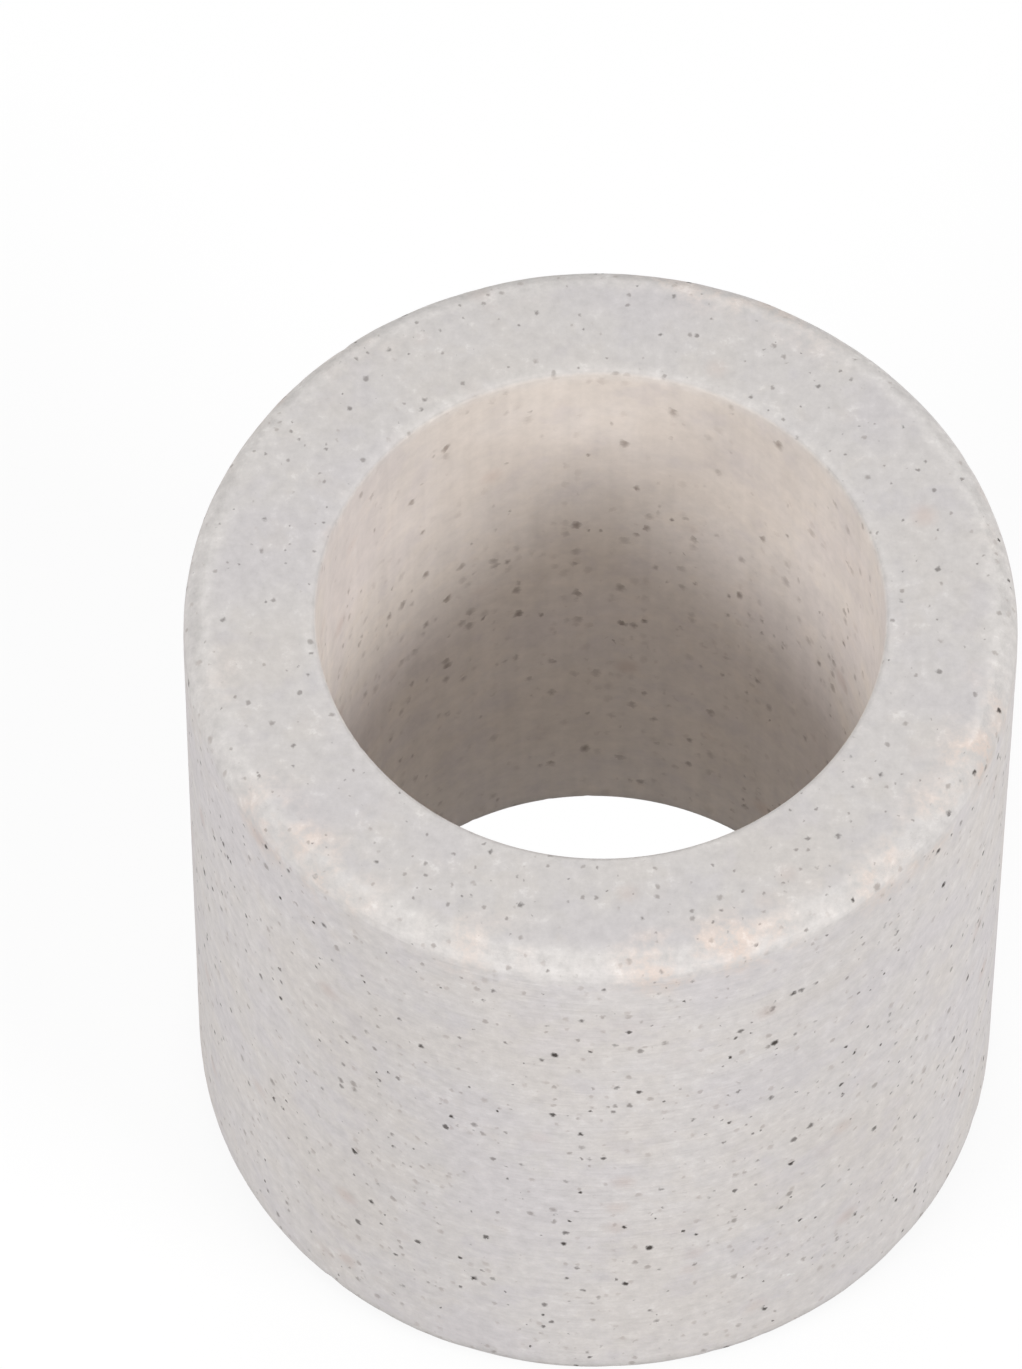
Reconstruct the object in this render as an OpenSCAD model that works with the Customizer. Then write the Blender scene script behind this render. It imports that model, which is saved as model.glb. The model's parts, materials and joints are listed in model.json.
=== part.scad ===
// Ceramic insulator tube: one fired sleeve of unglazed ceramic, open at both ends.
// The tube stands on its lower end face, with its bore along Z.
// The origin is the centre of that face.

/* [Tube] */
// Outside diameter of the tube
outer_d = 25; // [23:0.5:40]
// Diameter of the plain bore
bore_d = 17; // [8:0.5:18]
// Length from one end face to the other
tube_l = 25; // [8:0.5:60]

/* [Edges] */
// Radius of the rounded outer edge at each end
outer_edge_r = 0.8; // [0.3:0.1:1.2]
// Radius of the broken edge at each mouth of the bore
bore_edge_r = 0.2; // [0.1:0.05:0.5]

/* [Hidden] */
$fn = 96;
outer_r = outer_d / 2;
bore_r = bore_d / 2;
wall_t = outer_r - bore_r;

// What a rounding of radius r takes off a square corner whose sides run along +X and +Y
module corner_waste(r) {
    difference() {
        translate([-r, -r]) square(2 * r);
        translate([r, r]) circle(r);
    }
}

// Both corners of the wall at the lower end face
module end_corner_waste() {
    translate([bore_r, 0]) corner_waste(bore_edge_r);
    translate([outer_r, 0]) mirror([1, 0]) corner_waste(outer_edge_r);
}

// Section of the wall on one side of the axis: a straight wall with four rounded corners
module wall_section() {
    difference() {
        translate([bore_r, 0]) square([wall_t, tube_l]);
        end_corner_waste();
        translate([0, tube_l]) mirror([0, 1]) end_corner_waste();
    }
}

// The whole tube, turned about Z from its wall section
module ceramic_tube() {
    color("gainsboro") rotate_extrude() wall_section();
}

ceramic_tube();
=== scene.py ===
"""Ceramic insulator tube: worn ceramic skin, its fired finish, studio light and camera."""

import json
import logging
import math
from dataclasses import dataclass
from enum import Enum
from typing import Any, Callable, Optional, Union

import bpy
from mathutils import Matrix, Vector

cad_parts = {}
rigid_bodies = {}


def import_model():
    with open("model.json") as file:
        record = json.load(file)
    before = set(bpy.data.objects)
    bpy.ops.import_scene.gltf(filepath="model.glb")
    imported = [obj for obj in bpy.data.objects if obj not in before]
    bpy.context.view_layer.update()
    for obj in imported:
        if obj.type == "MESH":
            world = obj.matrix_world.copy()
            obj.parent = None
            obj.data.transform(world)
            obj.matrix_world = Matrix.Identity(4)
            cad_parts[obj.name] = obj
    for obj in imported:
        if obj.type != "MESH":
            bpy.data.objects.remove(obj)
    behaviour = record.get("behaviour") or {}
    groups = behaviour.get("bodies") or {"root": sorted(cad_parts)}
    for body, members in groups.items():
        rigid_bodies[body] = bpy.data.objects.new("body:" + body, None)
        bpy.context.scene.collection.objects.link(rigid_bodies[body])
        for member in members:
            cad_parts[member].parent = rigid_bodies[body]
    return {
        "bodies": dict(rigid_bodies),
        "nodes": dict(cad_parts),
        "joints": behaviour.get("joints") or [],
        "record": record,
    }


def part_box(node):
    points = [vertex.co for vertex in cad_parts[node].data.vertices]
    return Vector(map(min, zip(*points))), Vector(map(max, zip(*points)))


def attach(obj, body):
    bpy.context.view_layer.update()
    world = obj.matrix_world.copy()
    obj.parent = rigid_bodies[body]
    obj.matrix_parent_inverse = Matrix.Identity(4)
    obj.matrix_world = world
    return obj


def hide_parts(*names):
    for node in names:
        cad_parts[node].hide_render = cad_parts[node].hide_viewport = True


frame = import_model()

LOG = logging.getLogger("ceramic_tube")

TUBE_NODE = "ceramic_tube"
TUBE_BODY = "root"
EDGE_GROUP = "edge_wear"

MM = 0.001
SEAM_GAP = 0.001 * MM
PICK_SLACK = 0.01 * MM
PHOTO_HEIGHT_PX = 1369
SENSOR_MM = 36.0

NOISE_MEAN = 0.5
ROUND_PROFILE = 0.5
WHITE = (1.0, 1.0, 1.0, 1.0)
BLACK = (0.0, 0.0, 0.0, 1.0)
UP = (0.0, 0.0, 1.0)

# Places of the Mix node's sockets, because their names repeat for each type of data
MIX_AMOUNT = 0
MIX_VECTORS = (4, 5)
MIX_VECTOR_RESULT = 1
MIX_COLOURS = (6, 7)
MIX_COLOUR_RESULT = 2

Colour = tuple[float, float, float]
Factors = tuple[float, float, float]
Span = tuple[float, float]
Number = Union["Signal", float]
PointTest = Callable[[Vector], bool]


def from_srgb(red: int, green: int, blue: int) -> Colour:
    """Turn a colour as it is seen on screen into linear light.

    Args:
        red: Red, 0 to 255.
        green: Green, 0 to 255.
        blue: Blue, 0 to 255.

    Returns:
        The colour in linear light, 0 to 1.
    """
    def linear(level: int) -> float:
        """One channel in linear light."""
        share = level / 255.0
        return share / 12.92 if share <= 0.04045 else ((share + 0.055) / 1.055) ** 2.4

    return linear(red), linear(green), linear(blue)


class Blend(Enum):
    """Ways that one colour is laid over another."""

    COVER = "MIX"
    TINT = "MULTIPLY"


@dataclass(frozen=True)
class Clouds:
    """A smooth noise pattern: its waves for each millimetre, and its finer layers and their strength."""

    scale: float
    detail: float
    rough: float


class Signal:
    """An output socket that takes part in Python arithmetic."""

    def __init__(self, graph: "Graph", socket: bpy.types.NodeSocket) -> None:
        """Keep the graph and the socket that this signal reads."""
        self.graph = graph
        self.socket = socket

    def sibling(self, output: str) -> "Signal":
        """Another output of the same node."""
        return Signal(self.graph, self.socket.node.outputs[output])

    def __add__(self, other: Number) -> "Signal":
        """Sum of two values."""
        return self.graph.math("ADD", self, other)

    def __radd__(self, other: Number) -> "Signal":
        """Sum with the number first."""
        return self.graph.math("ADD", other, self)

    def __sub__(self, other: Number) -> "Signal":
        """Difference of two values."""
        return self.graph.math("SUBTRACT", self, other)

    def __rsub__(self, other: Number) -> "Signal":
        """Difference with the number first."""
        return self.graph.math("SUBTRACT", other, self)

    def __mul__(self, other: Number) -> "Signal":
        """Product of two values."""
        return self.graph.math("MULTIPLY", self, other)

    def __rmul__(self, other: Number) -> "Signal":
        """Product with the number first."""
        return self.graph.math("MULTIPLY", other, self)

    def __truediv__(self, other: Number) -> "Signal":
        """Quotient of two values."""
        return self.graph.math("DIVIDE", self, other)

    def root(self) -> "Signal":
        """Square root."""
        return self.graph.math("SQRT", self)

    def least(self, other: Number) -> "Signal":
        """The lower of two values."""
        return self.graph.math("MINIMUM", self, other)

    def most(self, other: Number) -> "Signal":
        """The higher of two values."""
        return self.graph.math("MAXIMUM", self, other)

    def below(self, limit: Number) -> "Signal":
        """1 where the value is under the limit, 0 elsewhere."""
        return self.graph.math("LESS_THAN", self, limit)

    def step(self, low: Number, high: Number, start: float, end: float) -> "Signal":
        """A smooth step between two levels of this value.

        Args:
            low: Level at which the step starts.
            high: Level at which it ends.
            start: The result up to the low level.
            end: The result from the high level on.

        Returns:
            The stepped value.
        """
        sockets = {"Value": self, "From Min": low, "From Max": high, "To Min": start, "To Max": end}
        return self.graph.add("ShaderNodeMapRange", {"interpolation_type": "SMOOTHSTEP"}, sockets)

    def rise(self, low: Number, high: Number) -> "Signal":
        """A smooth step from 0 at low to 1 at high."""
        return self.step(low, high, 0.0, 1.0)

    def fall(self, low: Number, high: Number) -> "Signal":
        """A smooth step from 1 at low to 0 at high."""
        return self.step(low, high, 1.0, 0.0)


class Graph:
    """A node tree that is filled by Python expressions."""

    def __init__(self, tree: bpy.types.NodeTree) -> None:
        """Empty the tree and keep it."""
        self.tree = tree
        self.tree.nodes.clear()

    def add(
        self,
        kind: str,
        settings: Optional[dict[str, Any]] = None,
        sockets: Optional[dict[Union[str, int], Any]] = None,
        output: Union[str, int] = 0,
    ) -> Signal:
        """Add one node.

        Args:
            kind: The node's type.
            settings: Its properties, set before its sockets.
            sockets: Values or signals for its inputs, by name or place.
            output: The output that the returned signal reads.

        Returns:
            The signal of that output.
        """
        node = self.tree.nodes.new(kind)
        for name, value in (settings or {}).items():
            setattr(node, name, value)
        for key, value in (sockets or {}).items():
            if isinstance(value, Signal):
                self.tree.links.new(value.socket, node.inputs[key])
            else:
                node.inputs[key].default_value = value
        return Signal(self, node.outputs[output])

    def close(self, kind: str, surface: Signal) -> None:
        """Add the output node that ends the tree.

        Args:
            kind: The output node's type.
            surface: The shader that it shows.
        """
        node = self.tree.nodes.new(kind)
        self.tree.links.new(surface.socket, node.inputs["Surface"])

    def math(self, operation: str, first: Number, second: Number = 0.0) -> Signal:
        """A Math node on one or two values."""
        return self.add("ShaderNodeMath", {"operation": operation}, {0: first, 1: second})

    def vector(self, operation: str, first: Any, second: Any, output: str = "Vector") -> Signal:
        """A Vector Math node on two vectors."""
        return self.add("ShaderNodeVectorMath", {"operation": operation}, {0: first, 1: second}, output)

    def stretch(self, vector: Signal, factors: Any) -> Signal:
        """A vector with each part multiplied by its own factor."""
        return self.vector("MULTIPLY", vector, factors)

    def dot(self, first: Any, second: Any) -> Signal:
        """The dot product of two vectors."""
        return self.vector("DOT_PRODUCT", first, second, "Value")

    def choose(self, first: Any, second: Any, amount: Number) -> Signal:
        """A vector between two others, the second where the amount is 1."""
        sockets = {MIX_AMOUNT: amount, MIX_VECTORS[0]: first, MIX_VECTORS[1]: second}
        return self.add("ShaderNodeMix", {"data_type": "VECTOR"}, sockets, MIX_VECTOR_RESULT)

    def noise(self, vector: Signal, clouds: Clouds) -> Signal:
        """Smooth noise between 0 and 1.

        Args:
            vector: Where it is read, in millimetres.
            clouds: Its pattern.

        Returns:
            The noise value.
        """
        sockets = {
            "Vector": vector,
            "Scale": clouds.scale,
            "Detail": clouds.detail,
            "Roughness": clouds.rough,
        }
        return self.add("ShaderNodeTexNoise", None, sockets)

    def lay(self, under: Any, over: Any, amount: Number, how: Blend = Blend.COVER) -> Signal:
        """Lay one colour over another.

        Args:
            under: The colour below.
            over: The colour above.
            amount: How much of it shows, 0 to 1.
            how: Whether it covers or tints.

        Returns:
            The colour that results.
        """
        base = under + (1.0,) if isinstance(under, tuple) else under
        cover = over + (1.0,) if isinstance(over, tuple) else over
        settings = {"data_type": "RGBA", "blend_type": how.value, "clamp_factor": True}
        sockets = {MIX_AMOUNT: amount, MIX_COLOURS[0]: base, MIX_COLOURS[1]: cover}
        return self.add("ShaderNodeMix", settings, sockets, MIX_COLOUR_RESULT)


@dataclass(frozen=True)
class ByZone:
    """An amount on the end faces, and what the outside and the bore add to it."""

    face: float
    side: float
    bore: float


@dataclass(frozen=True)
class Wander:
    """A length in millimetres, and what the patches of the body add to it."""

    least: float
    sway: float


@dataclass(frozen=True)
class Zones:
    """Distances in millimetres over which one zone of the surface turns into the next."""

    side: Span = (0.15, 0.6)
    bore: Span = (0.05, 0.1)
    bore_ends: Span = (0.03, 0.2)
    # The mouth is the upper end of the bore, from mouth_start to mouth_end below the top, where the lamps
    # reach and painted shade is laid.
    mouth_start: float = 4.0
    mouth_end: float = 9.5


@dataclass(frozen=True)
class Scatter:
    """How one kind of grain lies in the ceramic body. Lengths are in millimetres."""

    pitch: float
    smallest: float
    largest: float
    softness: float
    side_smear: float
    bore_smear: float
    seed: float


@dataclass(frozen=True)
class GrainLook:
    """What the zones and a ragged outline do to every kind of grain. Lengths are in millimetres."""

    size: ByZone = ByZone(0.72, 0.20, 0.45)
    bore_blur: float = 0.4
    swirl: Clouds = Clouds(8.0, 1.0, 0.5)
    ragged_reach: float = 0.14


@dataclass(frozen=True)
class SpeckLook:
    """Dark specks: most of them faint and brown, a few of them dark, in loose crowds."""

    grain: Scatter = Scatter(0.36, 0.042, 0.120, 0.50, 1.3, 1.6, 3.0)
    dark_tone: Colour = from_srgb(62, 56, 52)
    faint_tone: Colour = from_srgb(116, 84, 62)
    brown_moods: Span = (0.3, 0.9)
    bore_brown: float = 0.6
    faintest: float = 0.17
    thinnest_crowd: float = 0.35
    crowd_patches: Span = (0.35, 0.65)
    share: ByZone = ByZone(1.0, -0.2, -0.5)
    mouth_loss: float = 0.25
    face_contrast: float = 0.85
    side_contrast: float = 0.25
    worn_contrast: float = 0.6
    bore_contrast: float = -0.2


@dataclass(frozen=True)
class ScuffLook:
    """Slanting white scuffs on the outside, and rusty halos anywhere. Lengths are in millimetres."""

    grain: Scatter = Scatter(2.20, 0.040, 0.090, 0.50, 7.0, 1.0, 67.0)
    slant: float = 28.0
    share: float = 0.5
    broken_by: Span = (0.42, 0.6)
    halo_tone: Colour = from_srgb(196, 170, 158)
    halo_reach: Span = (0.05, 0.6)
    halo_chance: Span = (0.55, 0.95)
    halo_strength: float = 0.35


@dataclass(frozen=True)
class TintLook:
    """Cool and warm clouds in the body."""

    cool: Colour = (0.96, 0.96, 1.0)
    cool_drift: Span = (0.34, 0.5)
    cool_patches: Span = (0.34, 0.48)
    warm: Colour = (1.0, 0.985, 0.955)
    warm_drift: Span = (0.5, 0.66)
    warm_patches: Span = (0.52, 0.66)
    drift_strength: float = 0.6
    patch_strength: float = 0.5


@dataclass(frozen=True)
class ShadeLook:
    """How far the body's patterns lighten and darken it."""

    powder: ByZone = ByZone(0.42, 0.02, -0.16)
    worn_powder: float = 0.2
    patches: float = 0.08
    bore_patches: float = 0.14
    # The bore's lines are streaky tone that follows the fine relief, darker in its dips: partly painted
    # shade of the relief.
    bore_lines_and_painted_shade: float = 0.16


@dataclass(frozen=True)
class FrostLook:
    """Pale crumbs that lie on the faces, the outside and the worn edges."""

    tone: Colour = from_srgb(238, 236, 234)
    powder: Span = (0.56, 0.7)
    patches: Span = (0.45, 0.6)
    face: float = 0.28
    side: float = 0.4
    worn: float = 0.4
    strength: float = 0.75


@dataclass(frozen=True)
class WornLook:
    """Pale rubbed bands along the outer edges and the bore's mouths. Lengths are in millimetres."""

    tone: Colour = from_srgb(210, 206, 203)
    strength: float = 0.75
    outer_full: Wander = Wander(0.35, 0.2)
    outer_end: Wander = Wander(0.75, 0.9)
    inner_full: float = 0.05
    inner_end: Wander = Wander(0.2, 0.8)
    inner_share: float = 0.5


@dataclass(frozen=True)
class EdgeStain:
    """A peach firing stain on the upper outer edge. Angles are in degrees from +X."""

    angle: float
    spread: float
    strength: float


@dataclass(frozen=True)
class StainLook:
    """Peach firing stains along the outer edges, and where they break up."""

    tone: Colour = from_srgb(214, 198, 188)
    marks: tuple[EdgeStain, ...] = (
        EdgeStain(-18.0, 12.0, 0.6),
        EdgeStain(-38.0, 22.0, 0.7),
        EdgeStain(-74.0, 16.0, 1.0),
        EdgeStain(-107.0, 10.0, 0.6),
        EdgeStain(-136.0, 16.0, 0.9),
        EdgeStain(70.0, 20.0, 0.5),
    )
    height_shares: Span = (0.5, 0.6)
    stray_drift: Span = (0.56, 0.7)
    stray_strength: float = 0.4
    patches: Span = (0.38, 0.62)
    powder: Span = (0.3, 0.6)
    edge_reach: Span = (0.3, 2.0)


@dataclass(frozen=True)
class ReliefLook:
    """Fine relief: how tightly it is drawn on each zone, and how strongly it shows."""

    face_draw: Factors = (3.5, 3.5, 3.5)
    side_draw: Factors = (0.5, 0.5, 6.0)
    bore_draw: Factors = (1.8, 1.8, 0.07)
    grain: Clouds = Clouds(1.0, 2.0, 0.65)
    strength: float = 0.35
    height: float = 0.05 * MM


@dataclass(frozen=True)
class CeramicFinish:
    """Unglazed fired ceramic: pale warm grey, speckled, with worn pale edges, and zone tones that carry
    painted light and shade. Sizes are in millimetres.
    """

    outer_radius: float
    bore_radius: float
    length: float

    # Painted light and shade in the zone tones: the end faces are darker and the outside paler than the one
    # body colour, to offset the stronger lamp light on the faces.
    face_tone_painted_shade: Colour = from_srgb(196, 192, 190)
    side_tone_painted_light: Colour = from_srgb(221, 216, 214)
    # The bore's tone is paler as painted light against the shade inside the bore.
    bore_tone_painted_light: Colour = from_srgb(236, 229, 223)
    # The upper mouth of the bore, where the lamps reach, is darker: painted shade.
    mouth_tone_painted_shade: Colour = from_srgb(221, 213, 207)

    drift: Clouds = Clouds(0.2, 2.0, 0.5)
    patches: Clouds = Clouds(0.6, 3.0, 0.6)
    powder: Clouds = Clouds(2.2, 4.0, 0.7)

    zones: Zones = Zones()
    grains: GrainLook = GrainLook()
    specks: SpeckLook = SpeckLook()
    scuffs: ScuffLook = ScuffLook()
    tints: TintLook = TintLook()
    shades: ShadeLook = ShadeLook()
    frost: FrostLook = FrostLook()
    worn: WornLook = WornLook()
    stains: StainLook = StainLook()
    relief: ReliefLook = ReliefLook()

    roughness: float = 0.66
    powder_roughness: float = 0.2
    gloss: float = 0.35

    def material(self) -> bpy.types.Material:
        """Build the ceramic material.

        Returns:
            The material, which reads the piece's Object coordinates.
        """
        made = bpy.data.materials.new("unglazed_ceramic")
        made.use_nodes = True
        graph = Graph(made.node_tree)
        skin = CeramicSkin(graph, self)
        graph.close("ShaderNodeOutputMaterial", skin.shader())
        return made


class CeramicSkin:
    """The node tree of the ceramic finish, in millimetres on the tube itself."""

    def __init__(self, graph: Graph, finish: CeramicFinish) -> None:
        """Read the place on the tube and work out the zones and patterns of the surface.

        Args:
            graph: The material's node tree.
            finish: The colours and grain to use.
        """
        self.graph = graph
        self.finish = finish
        coords = graph.add("ShaderNodeTexCoord", None, None, "Object")
        self.place = graph.stretch(coords, (1.0 / MM, 1.0 / MM, 1.0 / MM))
        x = graph.add("ShaderNodeSeparateXYZ", None, {0: self.place}, "X")
        y = x.sibling("Y")
        self.z = x.sibling("Z")
        self.radius = (x * x + y * y).root()
        around = {"X": 0.0 - y / self.radius, "Y": x / self.radius, "Z": 0.0}
        self.tangent = graph.add("ShaderNodeCombineXYZ", None, around)

        zones = finish.zones
        end_gap = self.z.least(finish.length - self.z)
        side_gap = finish.outer_radius - self.radius
        bore_gap = self.radius - finish.bore_radius
        self.outside = side_gap.fall(*zones.side)
        self.bore = bore_gap.fall(*zones.bore) * end_gap.rise(*zones.bore_ends)
        # The upper mouth, where the lamps reach into the bore, takes a darker tone there as painted shade.
        upper = self.z.rise(finish.length - zones.mouth_end, finish.length - zones.mouth_start)
        self.mouth = self.bore * upper
        self.outer_corner = (side_gap * side_gap + end_gap * end_gap).root()
        self.bore_corner = bore_gap.most(0.0) + end_gap

        self.drift = graph.noise(self.place, finish.drift)
        self.patches = graph.noise(self.place, finish.patches)
        self.powder = graph.noise(self.place, finish.powder)
        self.ragged = self.ragged_shift()
        self.relief = self.fine_relief()
        self.wear = self.edge_wear()

    def zoned(self, amount: ByZone) -> Signal:
        """An amount that differs between the end faces, the outside and the bore."""
        return amount.face + self.outside * amount.side + self.bore * amount.bore

    def wandering(self, length: Wander) -> Signal:
        """A length that differs from patch to patch."""
        return length.least + self.patches * length.sway

    def ragged_shift(self) -> Signal:
        """A small shift of place that makes the outlines of the grains ragged.

        Returns:
            The shift as a vector in millimetres.
        """
        look = self.finish.grains
        swirl = self.graph.noise(self.place, look.swirl).sibling("Color")
        centred = self.graph.vector("SUBTRACT", swirl, (NOISE_MEAN, NOISE_MEAN, NOISE_MEAN))
        return self.graph.stretch(centred, (look.ragged_reach, look.ragged_reach, look.ragged_reach))

    def fine_relief(self) -> Signal:
        """Fine relief: rings round the outside, lines along the bore, grain on the ends.

        Returns:
            Its height, 0 to 1.
        """
        look = self.finish.relief
        draw = self.graph.choose(look.face_draw, look.side_draw, self.outside)
        draw = self.graph.choose(draw, look.bore_draw, self.bore)
        return self.graph.noise(self.graph.stretch(self.place, draw), look.grain)

    def edge_wear(self) -> Signal:
        """Pale rubbed bands along the outer edges and the bore's mouths.

        Returns:
            Their mask, 0 to 1.
        """
        look = self.finish.worn
        outer = self.outer_corner.fall(self.wandering(look.outer_full), self.wandering(look.outer_end))
        inner = self.bore_corner.fall(look.inner_full, self.wandering(look.inner_end))
        return outer.most(inner * look.inner_share)

    def cells(self, kind: Scatter) -> tuple[Signal, Signal]:
        """Scatter grains through the body.

        Args:
            kind: The grain to scatter.

        Returns:
            The way from the nearest grain to this place, and the first of its three random values.
        """
        graph = self.graph
        moved = graph.vector("ADD", self.place, (kind.seed, kind.seed, kind.seed))
        moved = graph.vector("ADD", moved, self.ragged)
        sockets = {"Vector": moved, "Scale": 1.0 / kind.pitch, "Randomness": 1.0}
        cell = graph.add("ShaderNodeTexVoronoi", {"feature": "F1"}, sockets, "Position")
        chance = graph.add("ShaderNodeSeparateColor", None, {0: cell.sibling("Color")}, "Red")
        return graph.vector("SUBTRACT", moved, cell), chance

    def smeared(self, reach: Signal, way: Any, kind: Scatter) -> Signal:
        """Distance from a grain that is drawn out along a direction on the outside and in the bore.

        Args:
            reach: The way from the grain.
            way: The direction that it is drawn out in.
            kind: The grain.

        Returns:
            The distance in millimetres.
        """
        along = self.graph.dot(reach, way)
        side_drop = 1.0 - 1.0 / kind.side_smear ** 2
        bore_drop = 1.0 - 1.0 / kind.bore_smear ** 2
        drop = self.outside * side_drop + self.bore * bore_drop
        return (self.graph.dot(reach, reach) - along * along * drop).most(0.0).root()

    def grain_mask(self, distance: Signal, bulk: Signal, kind: Scatter) -> Signal:
        """A soft mask whose size differs from grain to grain.

        Args:
            distance: Distance from the grain.
            bulk: The grain's random size, 0 to 1.
            kind: The grain.

        Returns:
            The mask, 0 to 1.
        """
        look = self.finish.grains
        size = kind.smallest + (kind.largest - kind.smallest) * bulk * bulk
        size = size * self.zoned(look.size)
        blur = kind.softness + self.bore * look.bore_blur
        return distance.fall(size * (1.0 - blur), size * (1.0 + blur))

    def specks(self) -> tuple[Signal, Signal]:
        """Dark ragged grains, crowded in some places and drawn out along the tube.

        Returns:
            The colour of the grains, brown where they are faint, and their mask.
        """
        look = self.finish.specks
        reach, chance = self.cells(look.grain)
        mood = chance.sibling("Blue")
        brown = mood.fall(*look.brown_moods).most(self.bore * look.bore_brown)
        tone = self.graph.lay(look.dark_tone, look.faint_tone, brown)

        distance = self.smeared(reach, UP, look.grain) * (NOISE_MEAN + self.powder)
        mask = self.grain_mask(distance, chance.sibling("Green"), look.grain)
        crowd = look.thinnest_crowd + self.patches.rise(*look.crowd_patches) * (1.0 - look.thinnest_crowd)
        crowd = crowd * (self.zoned(look.share) - self.mouth * look.mouth_loss)
        weight = look.faintest + mood * mood * mood * (1.0 - look.faintest)
        bare = self.outside.most(self.wear * look.worn_contrast)
        contrast = look.face_contrast + bare * look.side_contrast + self.bore * look.bore_contrast
        return tone, mask * chance.below(crowd) * weight * contrast

    def scuffs_and_halos(self) -> tuple[Signal, Signal]:
        """Slanting white scuffs on the outside, and rusty halos anywhere.

        Returns:
            The mask of the scuffs and the mask of the halos.
        """
        look = self.finish.scuffs
        reach, chance = self.cells(look.grain)
        slant = math.radians(look.slant)
        lean = self.graph.stretch(self.tangent, (math.cos(slant), math.cos(slant), 0.0))
        way = self.graph.vector("ADD", lean, (0.0, 0.0, -math.sin(slant)))
        scuff = self.grain_mask(self.smeared(reach, way, look.grain), chance.sibling("Green"), look.grain)
        scuff = scuff * self.outside * chance.below(look.share) * self.powder.rise(*look.broken_by)
        halo = self.graph.dot(reach, reach).root().fall(*look.halo_reach) * chance.rise(*look.halo_chance)
        return scuff, halo

    def stain(self) -> Signal:
        """Peach firing stains on the outer edges.

        Returns:
            Their mask, 0 to 1.
        """
        look = self.finish.stains
        total: Number = 0.0
        for mark in look.marks:
            angle = math.radians(mark.angle)
            facing = (math.cos(angle), math.sin(angle), 0.0)
            aim = self.graph.dot(self.place, facing) / self.radius
            total = aim.rise(math.cos(math.radians(mark.spread)), 1.0) * mark.strength + total
        low_share, high_share = look.height_shares
        upper = self.z.rise(self.finish.length * low_share, self.finish.length * high_share)
        stray = self.drift.rise(*look.stray_drift) * look.stray_strength
        broken = self.patches.rise(*look.patches) * self.outer_corner.fall(*look.edge_reach)
        return (total * upper + stray) * broken * self.powder.rise(*look.powder)

    def body(self) -> Signal:
        """The tones of the faces, the outside, the bore and its mouth, with cool and warm clouds. The tones
        hold painted light and shade: darker faces and a paler outside offset the lamps, a paler bore
        offsets its shade, and a darker upper mouth marks where the lamps reach into it.

        Returns:
            The colour.
        """
        graph = self.graph
        finish = self.finish
        tints = finish.tints
        # Zone tones with painted light and shade: darker faces, paler outside and bore, darker upper mouth.
        tone = graph.lay(finish.face_tone_painted_shade, finish.side_tone_painted_light, self.outside)
        tone = graph.lay(tone, finish.bore_tone_painted_light, self.bore)
        tone = graph.lay(tone, finish.mouth_tone_painted_shade, self.mouth)
        cool_drift = self.drift.fall(*tints.cool_drift) * tints.drift_strength
        cool_patches = self.patches.fall(*tints.cool_patches) * tints.patch_strength
        warm_drift = self.drift.rise(*tints.warm_drift) * tints.drift_strength
        warm_patches = self.patches.rise(*tints.warm_patches) * tints.patch_strength
        tone = graph.lay(tone, tints.cool, cool_drift.most(cool_patches), Blend.TINT)
        return graph.lay(tone, tints.warm, warm_drift.most(warm_patches), Blend.TINT)

    def shade(self) -> Signal:
        """How far the powder, the patches and the bore's lines lighten or darken the body. The bore's lines
        follow the fine relief, lighter on its ridges and darker in its dips: streaky tone and painted shade
        of the relief together.

        Returns:
            A grey whose mean is about 1.
        """
        look = self.finish.shades
        powder_depth = self.zoned(look.powder) + self.wear * look.worn_powder
        patch_depth = look.patches + self.bore * look.bore_patches
        level = 1.0 + (self.powder - NOISE_MEAN) * powder_depth
        level = level + (self.patches - NOISE_MEAN) * patch_depth
        # Lines in the bore follow the relief height, darker in its dips: partly painted shade.
        level = level + (self.relief - NOISE_MEAN) * self.bore * look.bore_lines_and_painted_shade
        return self.graph.add("ShaderNodeCombineXYZ", None, {"X": level, "Y": level, "Z": level})

    def frost(self) -> Signal:
        """Pale crumbs on the faces, the outside and the worn edges.

        Returns:
            Their mask, 0 to 1.
        """
        look = self.finish.frost
        face = (1.0 - self.outside) * (1.0 - self.bore)
        held = (face * look.face).most(self.outside * look.side).most(self.wear * look.worn)
        crumbs = self.powder.rise(*look.powder) * self.patches.rise(*look.patches)
        return crumbs * held * look.strength

    def colour(self) -> Signal:
        """Lay down the body, its wear, stains, mottling and grains.

        Returns:
            The colour.
        """
        graph = self.graph
        finish = self.finish
        scuff, halo = self.scuffs_and_halos()
        tone = graph.lay(self.body(), finish.worn.tone, self.wear * finish.worn.strength)
        tone = graph.lay(tone, finish.stains.tone, self.stain())
        tone = graph.lay(tone, self.shade(), 1.0, Blend.TINT)
        tone = graph.lay(tone, finish.scuffs.halo_tone, halo * finish.scuffs.halo_strength)
        tone = graph.lay(tone, finish.frost.tone, self.frost().most(scuff))
        return graph.lay(tone, *self.specks())

    def shader(self) -> Signal:
        """The finished surface.

        Returns:
            The shader's own output.
        """
        graph = self.graph
        finish = self.finish
        bump = {"Strength": finish.relief.strength, "Distance": finish.relief.height, "Height": self.relief}
        sockets = {
            "Base Color": self.colour(),
            "Roughness": finish.roughness + self.powder * finish.powder_roughness,
            "Normal": graph.add("ShaderNodeBump", None, bump),
            "Specular IOR Level": finish.gloss,
        }
        return graph.add("ShaderNodeBsdfPrincipled", None, sockets)


@dataclass(frozen=True)
class Dent:
    """A noise pattern that is pressed into the surface. Lengths are in metres.

    Its start is the noise level under which nothing is pressed in.
    """

    name: str
    wave: float
    depth: float
    group: str = ""
    start: float = 0.0


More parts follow.
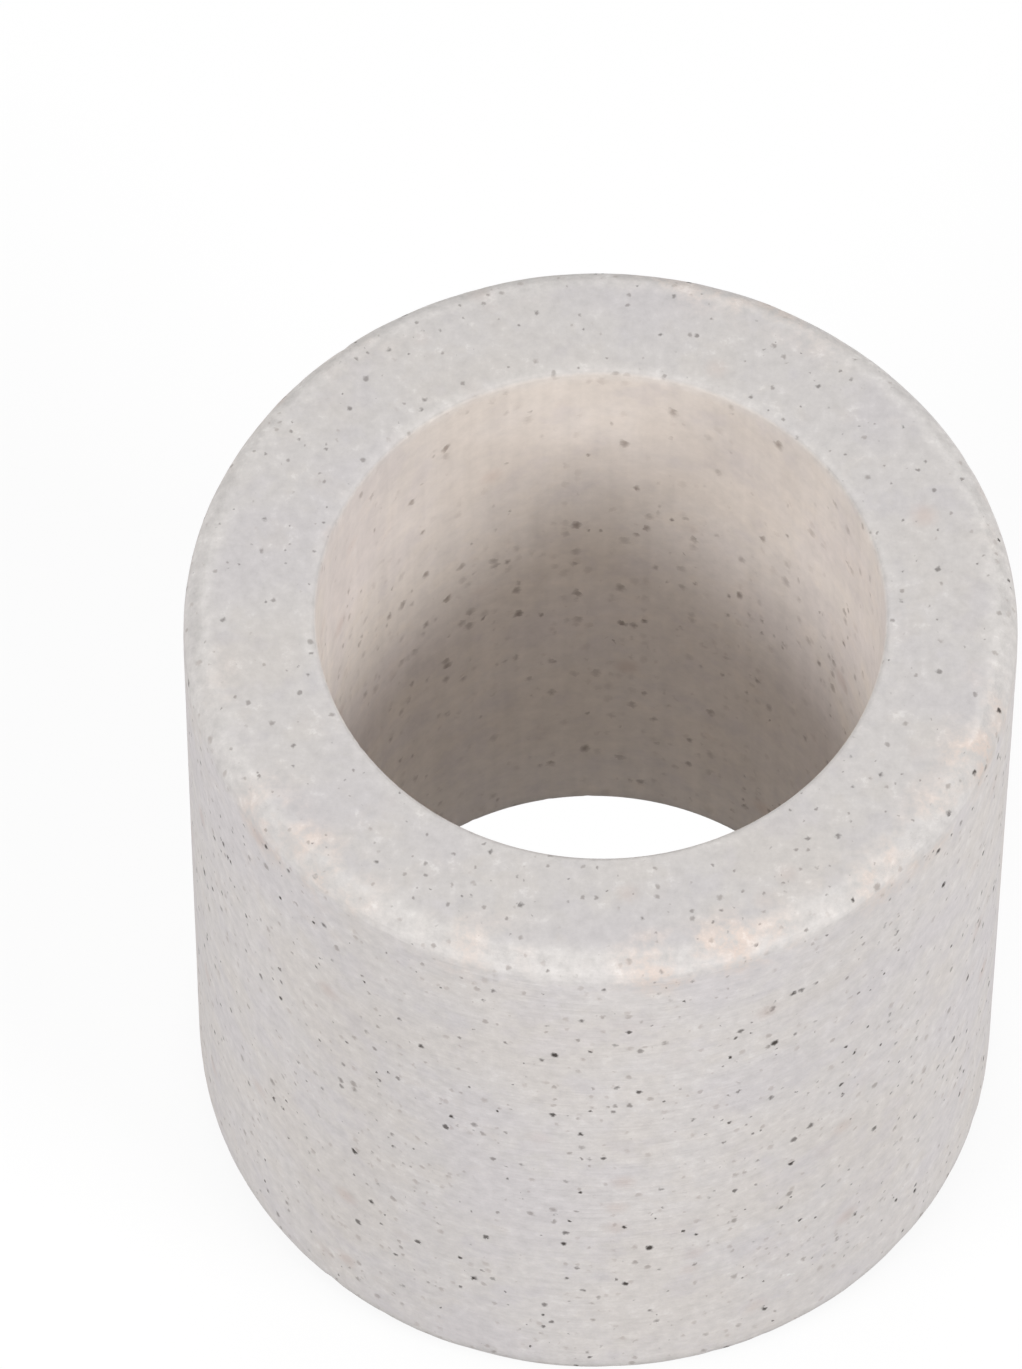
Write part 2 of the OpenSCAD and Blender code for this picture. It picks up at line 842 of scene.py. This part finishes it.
@dataclass
class CeramicTube:
    """The one fired sleeve: straight wall, open bore, rounded outer edges.

    Lengths are in metres, and the bore's grooves lie at angles in degrees from +X.
    """

    outer_radius: float
    bore_radius: float
    length: float
    edge_radius: float
    bore_edge_radius: float
    turns: int = 336
    side_cuts: int = 78
    face_cuts: int = 11
    edge_segments: int = 8
    bore_edge_segments: int = 3
    drag_grooves: tuple[float, ...] = (92.0, 101.0, 118.0, 143.0, 150.0, 171.0, 187.0, 214.0, 15.0, 48.0)
    groove_depth: float = 0.015 * MM
    groove_rim: float = 0.05 * MM
    edge_reach: float = 1.5
    dents: tuple[Dent, ...] = (
        Dent("slow_wave", 6.0 * MM, 0.02 * MM),
        Dent("edge_rub", 1.6 * MM, 0.08 * MM, EDGE_GROUP),
        Dent("edge_chips", 0.9 * MM, 0.13 * MM, EDGE_GROUP, 0.62),
    )
    piece: Optional[bpy.types.Object] = None

    @classmethod
    def from_frame(cls, packed: dict[str, Any]) -> "CeramicTube":
        """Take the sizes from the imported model.


        Returns:
            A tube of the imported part's size.
        """
        low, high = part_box(TUBE_NODE)
        mounts = {mount["name"]: mount for mount in packed["record"]["mounts"]}
        bore = mounts["bore"]["dims"]
        outside = mounts["outside"]["dims"]
        length = high.z - low.z
        return cls(
            outer_radius=(high.x - low.x) / 2.0,
            bore_radius=bore["r_mm"] * MM,
            length=length,
            edge_radius=(length - outside["length_mm"] * MM) / 2.0,
            bore_edge_radius=(length - bore["length_mm"] * MM) / 2.0,
        )

    def build(self) -> None:
        """Model the tube, from the section of its wall to its worn surface."""
        self.start_section()
        self.round_section()
        self.divide_section()
        self.turn_section()
        self.score_bore()
        self.weigh_edges()
        for dent in self.dents:
            self.press_in(dent)
        self.piece.vertex_groups.clear()
        bpy.ops.object.shade_smooth()

    def start_section(self) -> None:
        """Add the wall's section as a plane on the XZ plane."""
        bpy.ops.object.select_all(action="DESELECT")
        wall = self.outer_radius - self.bore_radius
        middle = (self.bore_radius + wall / 2.0, 0.0, self.length / 2.0)
        bpy.ops.mesh.primitive_plane_add(size=1.0, location=middle, rotation=(math.pi / 2.0, 0.0, 0.0))
        self.piece = bpy.context.active_object
        self.piece.name = "fired_tube"
        self.piece.scale = (wall, self.length, 1.0)
        bpy.ops.object.transform_apply(location=True, rotation=True, scale=True)

    def pick_points(self, test: PointTest) -> None:
        """Select the vertices that pass a test, and the edges between them, in edit mode.

        Args:
            test: A function of a vertex's place that says whether it is picked.
        """
        bpy.ops.mesh.select_mode(type="VERT")
        bpy.ops.mesh.select_all(action="DESELECT")
        bpy.ops.object.mode_set(mode="OBJECT")
        for vertex in self.piece.data.vertices:
            vertex.select = bool(test(vertex.co))
        bpy.ops.object.mode_set(mode="EDIT")

    def round_corners(self, radius: float, segments: int) -> None:
        """Round the picked corners of the section by a vertex bevel."""
        bpy.ops.mesh.bevel(offset=radius, segments=segments, profile=ROUND_PROFILE, affect="VERTICES")

    def round_section(self) -> None:
        """Round the section's corners and leave only its outline."""
        middle = (self.outer_radius + self.bore_radius) / 2.0
        bpy.ops.object.mode_set(mode="EDIT")
        self.pick_points(lambda place: place.x > middle)
        self.round_corners(self.edge_radius, self.edge_segments)
        self.pick_points(lambda place: place.x < self.bore_radius + PICK_SLACK)
        self.round_corners(self.bore_edge_radius, self.bore_edge_segments)
        bpy.ops.mesh.select_all(action="SELECT")
        bpy.ops.mesh.delete(type="ONLY_FACE")

    def divide_section(self) -> None:
        """Divide the straight runs of the outline, so that wear can shape them."""
        inner_end = self.bore_radius + self.bore_edge_radius - PICK_SLACK
        outer_end = self.outer_radius - self.edge_radius + PICK_SLACK
        top = self.length - PICK_SLACK
        runs: tuple[tuple[PointTest, int], ...] = (
            (lambda place: place.x > self.outer_radius - PICK_SLACK, self.side_cuts),
            (lambda place: place.x < self.bore_radius + PICK_SLACK, self.side_cuts),
            (lambda place: place.z < PICK_SLACK and inner_end < place.x < outer_end, self.face_cuts),
            (lambda place: place.z > top and inner_end < place.x < outer_end, self.face_cuts),
        )
        for test, cuts in runs:
            self.pick_points(test)
            bpy.ops.mesh.subdivide(number_cuts=cuts)

    def turn_section(self) -> None:
        """Turn the outline about the axis into the tube and close its seam."""
        bpy.ops.object.mode_set(mode="OBJECT")
        turn = self.piece.modifiers.new("turn", "SCREW")
        turn.axis = "Z"
        turn.angle = 2.0 * math.pi
        turn.steps = self.turns
        turn.render_steps = self.turns
        turn.use_merge_vertices = True
        turn.merge_threshold = SEAM_GAP
        bpy.ops.object.modifier_apply(modifier=turn.name)
        bpy.ops.object.mode_set(mode="EDIT")
        bpy.ops.mesh.select_all(action="SELECT")
        bpy.ops.mesh.remove_doubles(threshold=SEAM_GAP)
        bpy.ops.mesh.normals_make_consistent(inside=False)

    def score_bore(self) -> None:
        """Press the shallow drawing lines along the bore."""
        columns = {round(groove * self.turns / 360.0) % self.turns for groove in self.drag_grooves}

        def on_groove(place: Vector) -> bool:
            """Whether a vertex lies in the bore on one of the lines.

            Args:
                place: The vertex's place.

            Returns:
                True where it lies on a line.
            """
            if math.hypot(place.x, place.y) > self.bore_radius + self.groove_rim:
                return False
            share = math.atan2(place.y, place.x) / (2.0 * math.pi)
            return round(share * self.turns) % self.turns in columns

        self.pick_points(on_groove)
        bpy.ops.transform.shrink_fatten(value=-self.groove_depth)
        bpy.ops.object.mode_set(mode="OBJECT")

    def weigh_edges(self) -> None:
        """Weigh the vertices near the outer edges, where the tube is rubbed and chipped."""
        group = self.piece.vertex_groups.new(name=EDGE_GROUP)
        reach = self.edge_reach * self.edge_radius
        for vertex in self.piece.data.vertices:
            place = vertex.co
            side = self.outer_radius - math.hypot(place.x, place.y)
            end = min(place.z, self.length - place.z)
            weight = 1.0 - math.hypot(side, end) / reach
            if weight > 0.0:
                group.add([vertex.index], weight, "REPLACE")

    def press_in(self, dent: Dent) -> None:
        """Press the surface inwards by a noise pattern, and apply it.

        Args:
            dent: The pattern.
        """
        texture = bpy.data.textures.new(dent.name, "CLOUDS")
        texture.noise_scale = dent.wave
        if dent.start > 0.0:
            texture.use_color_ramp = True
            low, high = texture.color_ramp.elements
            low.position = dent.start
            low.color = BLACK
            high.color = WHITE
        press = self.piece.modifiers.new(dent.name, "DISPLACE")
        press.texture = texture
        press.strength = -dent.depth
        press.mid_level = 0.0
        press.vertex_group = dent.group
        bpy.context.view_layer.objects.active = self.piece
        bpy.ops.object.modifier_apply(modifier=press.name)
        bpy.data.textures.remove(texture)

    def dress(self) -> None:
        """Give the tube its finish and seat it on its body."""
        finish = CeramicFinish(
            outer_radius=self.outer_radius / MM,
            bore_radius=self.bore_radius / MM,
            length=self.length / MM,
        )
        self.piece.data.materials.clear()
        self.piece.data.materials.append(finish.material())
        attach(self.piece, TUBE_BODY)
        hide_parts(TUBE_NODE)


@dataclass(frozen=True)
class Lamp:
    """A square soft lamp aimed at the tube. Lengths are in metres, angles in degrees.

    Its level is about the brightness that it gives a white surface which faces it.
    """

    name: str
    azimuth: float
    elevation: float
    distance: float
    size: float
    level: float

    def place(self, target: Vector) -> None:
        """Hang the lamp.

        Args:
            target: The point that it faces.
        """
        around = math.radians(self.azimuth)
        above = math.radians(self.elevation)
        way = Vector((
            math.sin(around) * math.cos(above),
            -math.cos(around) * math.cos(above),
            math.sin(above),
        ))
        data = bpy.data.lights.new(self.name, "AREA")
        data.size = self.size
        data.energy = self.level * math.pi ** 2 * self.distance ** 2
        lamp = bpy.data.objects.new(self.name, data)
        lamp.location = target + way * self.distance
        lamp.rotation_euler = (-way).to_track_quat("-Z", "Y").to_euler()
        bpy.context.scene.collection.objects.link(lamp)


@dataclass(frozen=True)
class Studio:
    """Pale floor, white surround and soft lamps. Lengths are in metres."""

    floor_size: float = 6.0
    floor_tone: float = 0.3
    floor_lift: float = 0.88
    card_tone: float = 0.9
    card_radius: float = 9.5 * MM
    sky_level: float = 0.3
    lamps: tuple[Lamp, ...] = (
        Lamp("left_softbox", -52.0, 31.0, 0.5, 0.20, 0.58),
        Lamp("right_softbox", 58.0, 30.0, 0.5, 0.20, 0.625),
        Lamp("overhead_softbox", 0.0, 88.0, 0.5, 0.36, 0.15),
        Lamp("rear_softbox", 180.0, 25.0, 0.5, 0.36, 0.34),
    )

    def seen_directly(self, graph: Graph) -> Signal:
        """1 for what the camera, a reflection or clear glass shows, 0 for light that falls on things."""
        camera = graph.add("ShaderNodeLightPath", None, None, "Is Camera Ray")
        return camera.most(camera.sibling("Is Glossy Ray")).most(camera.sibling("Is Transmission Ray"))

    def floor_material(self) -> bpy.types.Material:
        """Matte floor that shows near white and keeps a soft shadow, with a white card under the bore.

        Returns:
            The floor's material.
        """
        made = bpy.data.materials.new("pale_floor")
        made.use_nodes = True
        graph = Graph(made.node_tree)
        floor = (self.floor_tone, self.floor_tone, self.floor_tone)
        card = (self.card_tone, self.card_tone, self.card_tone)
        coords = graph.add("ShaderNodeTexCoord", None, None, "Object")
        on_card = graph.dot(coords, coords).root().below(self.card_radius)
        seen = self.seen_directly(graph)
        tone = graph.lay(floor, card, on_card.most(seen))
        matte = graph.add("ShaderNodeBsdfDiffuse", None, {"Color": tone})
        white = graph.add("ShaderNodeEmission", None, {"Color": WHITE, "Strength": 1.0})
        lift = seen * (self.floor_lift + on_card * (1.0 - self.floor_lift))
        shown = graph.add("ShaderNodeMixShader", None, {0: lift, 1: matte, 2: white})
        graph.close("ShaderNodeOutputMaterial", shown)
        return made

    def lay_floor(self) -> None:
        """Lay the floor under the tube."""
        bpy.ops.object.select_all(action="DESELECT")
        bpy.ops.mesh.primitive_plane_add(size=self.floor_size, location=(0.0, 0.0, 0.0))
        floor = bpy.context.active_object
        floor.name = "floor"
        floor.data.materials.append(self.floor_material())

    def light_sky(self) -> None:
        """Surround the scene with even white light."""
        world = bpy.data.worlds.new("white_surround")
        world.use_nodes = True
        bpy.context.scene.world = world
        graph = Graph(world.node_tree)
        level = self.sky_level + self.seen_directly(graph) * (1.0 - self.sky_level)
        sky = graph.add("ShaderNodeBackground", None, {"Color": WHITE, "Strength": level})
        graph.close("ShaderNodeOutputWorld", sky)

    def set_up(self, target: Vector) -> None:
        """Lay the floor, light the surround and hang the lamps.

        Args:
            target: The point that the lamps face.
        """
        self.lay_floor()
        self.light_sky()
        for lamp in self.lamps:
            lamp.place(target)
        bpy.context.scene.view_settings.view_transform = "Standard"


@dataclass(frozen=True)
class PhotoCamera:
    """The camera at the photograph's viewpoint. Lengths are in metres, angles in degrees."""

    ground_distance: float = 0.1844
    height: float = 0.3208
    turn: float = -0.83
    tilt: float = 58.425
    roll: float = 0.18
    focal_px: float = 11675.0
    nearest: float = 0.01

    def place(self) -> None:
        """Set the camera up and make it the scene's camera."""
        data = bpy.data.cameras.new("photo_camera")
        data.sensor_width = SENSOR_MM
        data.lens = self.focal_px * SENSOR_MM / PHOTO_HEIGHT_PX
        data.clip_start = self.nearest
        camera = bpy.data.objects.new("photo_camera", data)
        camera.location = (0.0, -self.ground_distance, self.height)
        turn = Matrix.Rotation(-math.radians(self.turn), 3, "Z")
        tilt = Matrix.Rotation(math.radians(90.0 - self.tilt), 3, "X")
        roll = Matrix.Rotation(math.radians(self.roll), 3, "Z")
        camera.rotation_euler = (turn @ tilt @ roll).to_euler()
        bpy.context.scene.collection.objects.link(camera)
        bpy.context.scene.camera = camera


def main() -> None:
    """Build the tube, the studio and the camera, and note the size of what was built."""
    logging.basicConfig(level=logging.INFO, format="%(name)s: %(message)s")
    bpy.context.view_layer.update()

    tube = CeramicTube.from_frame(frame)
    tube.build()
    tube.dress()
    LOG.info("%s: %d faces", tube.piece.name, len(tube.piece.data.polygons))

    Studio().set_up(Vector((0.0, 0.0, tube.length / 2.0)))
    PhotoCamera().place()
    LOG.info("floor, lamps and camera are set")


if __name__ == "__main__":
    main()
